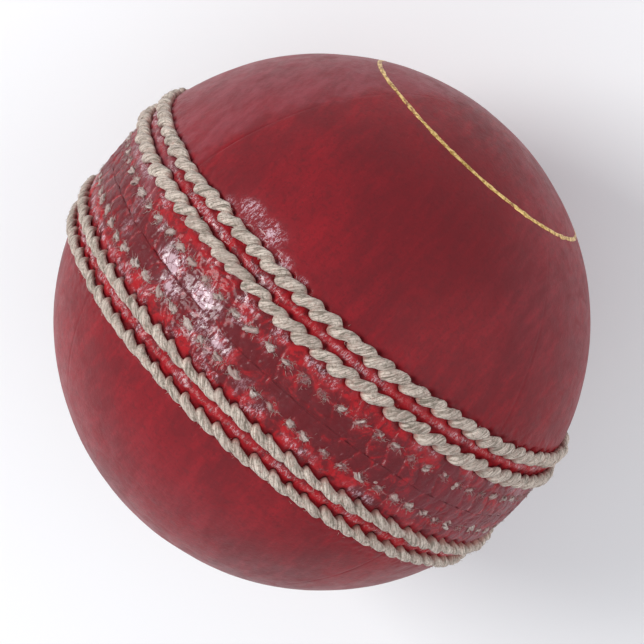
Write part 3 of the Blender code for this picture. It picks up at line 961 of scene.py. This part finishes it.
def red_leather():
    """Lacquered red leather: mottled dye, paler patches of wear that are partly painted highlight
    and sheen, crackle, fine pores, and the painted shade of the holes.
    """
    n = Nodes("red_leather_fine")
    cloud = n.noise(70.0, 4.0, 0.55)
    blotch = n.noise(420.0, 5.0, 0.65, distortion=0.8)
    mottle = n.noise(900.0, 5.0, 0.75)
    fine = n.noise(2400.0, 4.0, 0.7)
    streaks = n.noise(300.0, 6.0, 0.7, vector=n.stretch((2.4, 0.4, 0.7)))
    crease, hole_depth_and_shade = n.attribute("crease"), n.attribute("hole_depth_and_shade")
    band, scuff_and_glint, dusty_and_sheen = n.attribute("band"), n.attribute("scuff_and_glint"), n.attribute("dusty_and_sheen")
    colour = n.mix(n.ramp(cloud, 0.34, 0.66), (0.160, 0.013, 0.018), (0.235, 0.013, 0.019))
    colour = n.mix(n.ramp(streaks, 0.42, 0.72, 0.0, 0.45), colour, (0.36, 0.014, 0.022))
    colour = n.mix(n.ramp(mottle, 0.48, 0.66, 0.0, 0.55), colour, (0.145, 0.014, 0.018))
    colour = n.mix(n.ramp(fine, 0.50, 0.68, 0.0, 0.45), colour, (0.105, 0.012, 0.016))
    scratches = n.noise(1300.0, 5.0, 0.8, vector=n.stretch((2.6, 0.22, 0.8)), distortion=0.3)
    colour = n.mix(n.ramp(scratches, 0.60, 0.74, 0.0, 0.35), colour, (0.42, 0.05, 0.06))

    # Darker red, strongest within 4 mm of that middle and gone by 19 mm
    reach = n.add("ShaderNodeVectorMath", operation="DISTANCE")
    n.link(n.place(), reach.inputs[0])
    reach.inputs[1].default_value = tuple(DARK_PATCH_MIDDLE)
    darker_patch = n.ramp(reach.outputs["Value"], 4.0 * MM, 19.0 * MM, 0.55, 0.0)
    colour = n.mix(darker_patch, colour, (0.130, 0.012, 0.016))

    # The stitched band: maroon patches and bright new red where the stitches pull
    redder = n.math("ADD", blotch, n.math("MULTIPLY", n.attribute("fresh"), 0.15))
    patches = n.mix(n.ramp(redder, 0.50, 0.72), (0.120, 0.010, 0.014), (0.46, 0.010, 0.016))
    colour = n.mix(n.math("MULTIPLY", band, 0.85), colour, patches)
    flaked = n.noise(2300.0, 7.0, 0.85, vector=n.stretch((1.3, 0.5, 1.3)), distortion=0.6)
    speckle = n.math("MULTIPLY", band, n.ramp(mottle, 0.48, 0.60, 0.0, 0.75))
    colour = n.mix(speckle, colour, (0.135, 0.010, 0.014))
    chips = n.math("MULTIPLY", band, n.ramp(flaked, 0.60, 0.70, 0.0, 0.55))
    colour = n.mix(chips, colour, (0.62, 0.33, 0.35))
    smear = n.math("MULTIPLY", band, n.ramp(streaks, 0.52, 0.74, 0.0, 0.40))
    colour = n.mix(smear, colour, (0.125, 0.022, 0.034))
    pulled = n.math("MULTIPLY", crease, n.ramp(mottle, 0.40, 0.62))
    colour = n.mix(n.math("MULTIPLY", pulled, 0.70), colour, (0.56, 0.014, 0.024))

    # Dust with painted sheen, lacquer rubbed pale and crackled by wear with a painted highlight,
    # and the painted shade of the holes
    # Pale mauve: dust, and painted sheen beyond the stamped half's join and towards the poles
    dust_and_sheen = n.math("MULTIPLY", dusty_and_sheen, n.ramp(streaks, 0.30, 0.66, 0.20, 0.75))
    colour = n.mix(dust_and_sheen, colour, (0.27, 0.060, 0.075))
    # Pale pink-white of scuffs and torn lacquer: wear, and a painted highlight where the key
    # light's reflection falls near the seam and beside the stamped half's outer row
    edge = n.math("ADD", scuff_and_glint, n.math("MULTIPLY", cloud, 0.35))
    pale_wear_and_glint = n.math("MULTIPLY", n.ramp(flaked, 0.50, 0.58), n.ramp(edge, 0.36, 0.80))
    crazed = n.ramp(n.voronoi(1150.0, "DISTANCE_TO_EDGE", n.swirled(0.35)), 0.012, 0.070)
    rubbed = n.math("ADD", scuff_and_glint, n.math("MULTIPLY", flaked, 0.5))
    pale_wear_and_glint = n.math("MAXIMUM", pale_wear_and_glint, n.math("MULTIPLY", n.ramp(rubbed, 0.92, 1.04), crazed))
    colour = n.mix(n.math("MULTIPLY", pale_wear_and_glint, 0.85), colour, (0.72, 0.50, 0.55))
    # Pale along the creases and round the closing stitches: frayed lacquer, and a painted highlight
    # along the crease lines
    frayed_and_glint = n.math("MULTIPLY", n.ramp(crease, 0.35, 0.95), n.ramp(flaked, 0.50, 0.60))
    colour = n.mix(n.math("MULTIPLY", frayed_and_glint, 0.70), colour, (0.60, 0.40, 0.39))
    # Painted shade: the stitch holes darkened to a near-black red
    colour = n.mix(n.ramp(hole_depth_and_shade, 0.25, 0.9, 0.0, 0.85), colour, (0.055, 0.006, 0.008))
    n.set(Base_Color=colour)

    wrinkles = n.noise(1000.0, 7.0, 0.75, distortion=0.8)
    strength = n.math("ADD", n.math("MULTIPLY", band, 0.75), n.math("MULTIPLY", scuff_and_glint, 0.5))
    grain = n.bump(n.voronoi(2400.0), 0.25, 0.05 * MM)
    lively = n.bump(wrinkles, n.math("ADD", strength, 0.14), 0.22 * MM, grain)
    n.set(Normal=lively)
    n.set(Roughness=n.ramp(blotch, 0.3, 0.8, 0.38, 0.55))
    gloss = n.math("ADD", n.math("MULTIPLY", band, 0.12), n.math("MULTIPLY", scuff_and_glint, 0.85))
    n.set(Coat_Weight=n.math("ADD", gloss, 0.03))
    n.set(Specular_IOR_Level=0.13, Coat_Roughness=0.10)
    return n.material


def linen_thread(name, pale, mid, dark, stain, stain_low, stain_high, variety):
    """Twisted linen thread: fibres along the plies, grey flecks, painted shade in the grooves
    between plies, dye where it meets leather.
    """
    n = Nodes(name)
    fibre = n.attribute("fibre", "Vector")
    strands = n.noise(5600.0, 3.0, 0.6, vector=n.stretch((0.12, 1.0, 1.0), fibre))
    flecks = n.noise(2600.0, 3.0, 0.6, vector=n.stretch((0.35, 1.0, 1.0), fibre))
    cloud = n.noise(330.0, 3.0, 0.6)
    groove_shade = n.attribute("groove_shade")
    colour = n.mix(n.ramp(strands, 0.38, 0.60), mid, pale)
    colour = n.mix(n.ramp(n.noise(1900.0, 4.0, 0.7), 0.50, 0.70, 0.0, 0.5), colour, stain)
    colour = n.mix(n.ramp(cloud, 0.45, 0.70, 0.0, 0.45), colour, mid)
    colour = n.mix(n.ramp(flecks, 0.48, 0.66, 0.0, 0.80), colour, dark)
    colour = n.mix(n.ramp(n.noise(3300.0, 2.0, 0.6), 0.52, 0.66, 0.0, 0.55), colour, dark)
    # Painted shade: darker in the grooves between the plies
    colour = n.mix(n.ramp(groove_shade, 0.35, 0.95, 0.0, 0.30), colour, dark)
    colour = n.mix(n.math("MULTIPLY", n.attribute("shade"), variety), colour, mid)
    rise = n.math("ADD", n.attribute("rise"), n.math("MULTIPLY", cloud, 0.3))
    colour = n.mix(n.ramp(rise, stain_low, stain_high, 0.9, 0.0), colour, stain)
    n.set(Base_Color=colour)
    normal = n.bump(strands, 0.8, 0.10 * MM)
    normal = n.bump(n.noise(3600.0, 3.0, 0.7), 0.35, 0.08 * MM, normal)
    n.set(Normal=normal, Roughness=0.88, Specular_IOR_Level=0.2, Sheen_Weight=0.15)
    return n.material


def worn_foil():
    """Gold foil rubbed through to the leather in places."""
    n = Nodes("worn_gold_foil")
    wear = n.noise(1500.0, 5.0, 0.8)
    broad = n.noise(120.0, 3.0, 0.6)
    rubbed = n.ramp(n.math("ADD", wear, n.math("MULTIPLY", broad, 0.6)), 0.86, 0.93)
    colour = n.mix(n.ramp(wear, 0.42, 0.60), (0.88, 0.62, 0.24), (0.42, 0.25, 0.06))
    colour = n.mix(rubbed, colour, (0.22, 0.03, 0.02))
    n.set(Base_Color=colour)
    n.set(Metallic=n.ramp(rubbed, 0.0, 1.0, 1.0, 0.0))
    n.set(Roughness=n.ramp(wear, 0.3, 0.7, 0.28, 0.5))
    n.set(Normal=n.bump(wear, 0.5, 0.03 * MM))
    return n.material


def inner_material(name, pale, dark, scale, stretch, rough):
    """A plain fibrous or grainy material for the pieces inside the ball."""
    n = Nodes(name)
    grain = n.noise(scale, 5.0, 0.65, vector=n.stretch(stretch))
    n.set(Base_Color=n.mix(n.ramp(grain, 0.35, 0.65), dark, pale))
    n.set(Normal=n.bump(grain, 0.8, 0.2 * MM), Roughness=rough)
    return n.material


# The object

leather = red_leather()
raised_thread = linen_thread(
    "cream_thread", (0.76, 0.66, 0.56), (0.38, 0.30, 0.25), (0.12, 0.10, 0.07),
    (0.44, 0.20, 0.165), 0.0, 0.90, 0.25,
)
sunk_thread = linen_thread(
    "stained_thread", (0.76, 0.70, 0.63), (0.40, 0.27, 0.24), (0.14, 0.10, 0.08),
    (0.28, 0.06, 0.07), -0.24, 0.02, 0.75,
)
foil = worn_foil()

for half in ("stamped", "plain"):
    for number in (1, 2):
        leather_quarter(half, number, leather)
    thread_row(
        f"sunk_stitches_{half}", CLOSING_ROWS[half], f"closing_stitch_{half}",
        sunk_thread, CLOSING_STITCH, 5, RAGGED, 13, 10,
        (40, 0.85 * MM, 2.2, True),
    )
    for level in ("inner", "outer"):
        thread_row(
            f"stitches_{half}_{level}", ROWS[f"{half}_{level}"], f"seam_row_{half}_{level}",
            raised_thread, RAISED_STITCH * NARROWER[half],
            1, NEAT, 26, 36, (14, 0.65 * MM, 1.6, False),
        )
foil_ring(foil)

# For each kind of hidden node: material name, pale and dark colours, scale, stretch, roughness
EVEN = (1, 1, 1)
WOUND = (1, 9, 1)
INNER_LOOKS = {
    "lining_": ("lining_suede", (0.50, 0.34, 0.21), (0.34, 0.21, 0.12), 900.0, EVEN, 0.85),
    "quarter_stitch_": ("linen_thread", (0.66, 0.58, 0.44), (0.42, 0.35, 0.25), 1800.0, EVEN, 0.9),
    "yarn_winding_": ("wool_yarn", (0.62, 0.56, 0.47), (0.36, 0.31, 0.25), 700.0, WOUND, 0.95),
    "cork_layer_": ("sheet_cork", (0.55, 0.34, 0.18), (0.26, 0.13, 0.06), 420.0, EVEN, 0.9),
    "cork_nucleus": ("cork_rubber", (0.46, 0.28, 0.16), (0.07, 0.05, 0.045), 260.0, EVEN, 0.8),
}
for prefix, look in INNER_LOOKS.items():
    material = inner_material(*look)
    for name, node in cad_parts.items():
        if name.startswith(prefix):
            node.data.materials.clear()
            node.data.materials.append(material)


# Floor, light and camera

low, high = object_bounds()
FLOOR_SIZE = 6.0
bpy.ops.mesh.primitive_plane_add(size=FLOOR_SIZE, location=(0.0, 0.0, low.z))
floor = bpy.context.object
floor.name = "floor"
paper = Nodes("pale_floor")
paper.set(Base_Color=(0.90, 0.90, 0.90), Roughness=0.9, Specular_IOR_Level=0.2)
floor.data.materials.append(paper.material)

CAMERA_ELEVATION = math.radians(14.33)
CAMERA_ROLL = math.radians(47.72)
CAMERA_DISTANCE = 6.71 * BALL_RADIUS
CAMERA_LENS = 99.6
CAMERA_CLIP = 0.01
toward_camera = Vector((0.0, math.sin(CAMERA_ELEVATION), math.cos(CAMERA_ELEVATION)))
toward_pole = Vector((0.0, math.cos(CAMERA_ELEVATION), -math.sin(CAMERA_ELEVATION)))
along_seam = Vector((1.0, 0.0, 0.0))
image_right = math.cos(CAMERA_ROLL) * toward_pole + math.sin(CAMERA_ROLL) * along_seam
image_up = math.sin(CAMERA_ROLL) * toward_pole - math.cos(CAMERA_ROLL) * along_seam
camera_data = bpy.data.cameras.new("camera")
camera_data.lens = CAMERA_LENS
camera_data.clip_start = CAMERA_CLIP
camera = bpy.data.objects.new("camera", camera_data)
turn = Matrix((image_right, image_up, toward_camera)).transposed().to_4x4()
camera.matrix_world = Matrix.Translation(toward_camera * CAMERA_DISTANCE) @ turn
bpy.context.scene.collection.objects.link(camera)
bpy.context.scene.camera = camera


def soft_box(name, direction, distance, size, power):
    """A square area light that faces the ball from a direction in the camera's own axes."""
    x, y, z = direction
    towards = (x * image_right + y * image_up + z * toward_camera).normalized()
    data = bpy.data.lights.new(name, "AREA")
    data.shape = "SQUARE"
    data.size = size
    data.energy = power
    light = bpy.data.objects.new(name, data)
    light.location = towards * distance
    light.rotation_mode = "QUATERNION"
    light.rotation_quaternion = towards.to_track_quat("Z", "Y")
    bpy.context.scene.collection.objects.link(light)


soft_box("key_light", (-0.72, 0.20, 0.66), 0.55, 0.22, 1.75)
soft_box("fill_light", (0.80, -0.25, 0.62), 1.10, 1.00, 3.2)
soft_box("low_light", (-0.45, -0.85, 0.45), 1.10, 1.00, 1.1)

SKY_COLOUR = (0.92, 0.94, 1.0, 1.0)
SKY_STRENGTH = 0.64
world = bpy.data.worlds.new("studio")
world.use_nodes = True
background = world.node_tree.nodes["Background"]
background.inputs["Color"].default_value = SKY_COLOUR
background.inputs["Strength"].default_value = SKY_STRENGTH
bpy.context.scene.world = world
bpy.context.scene.view_settings.view_transform = "Standard"
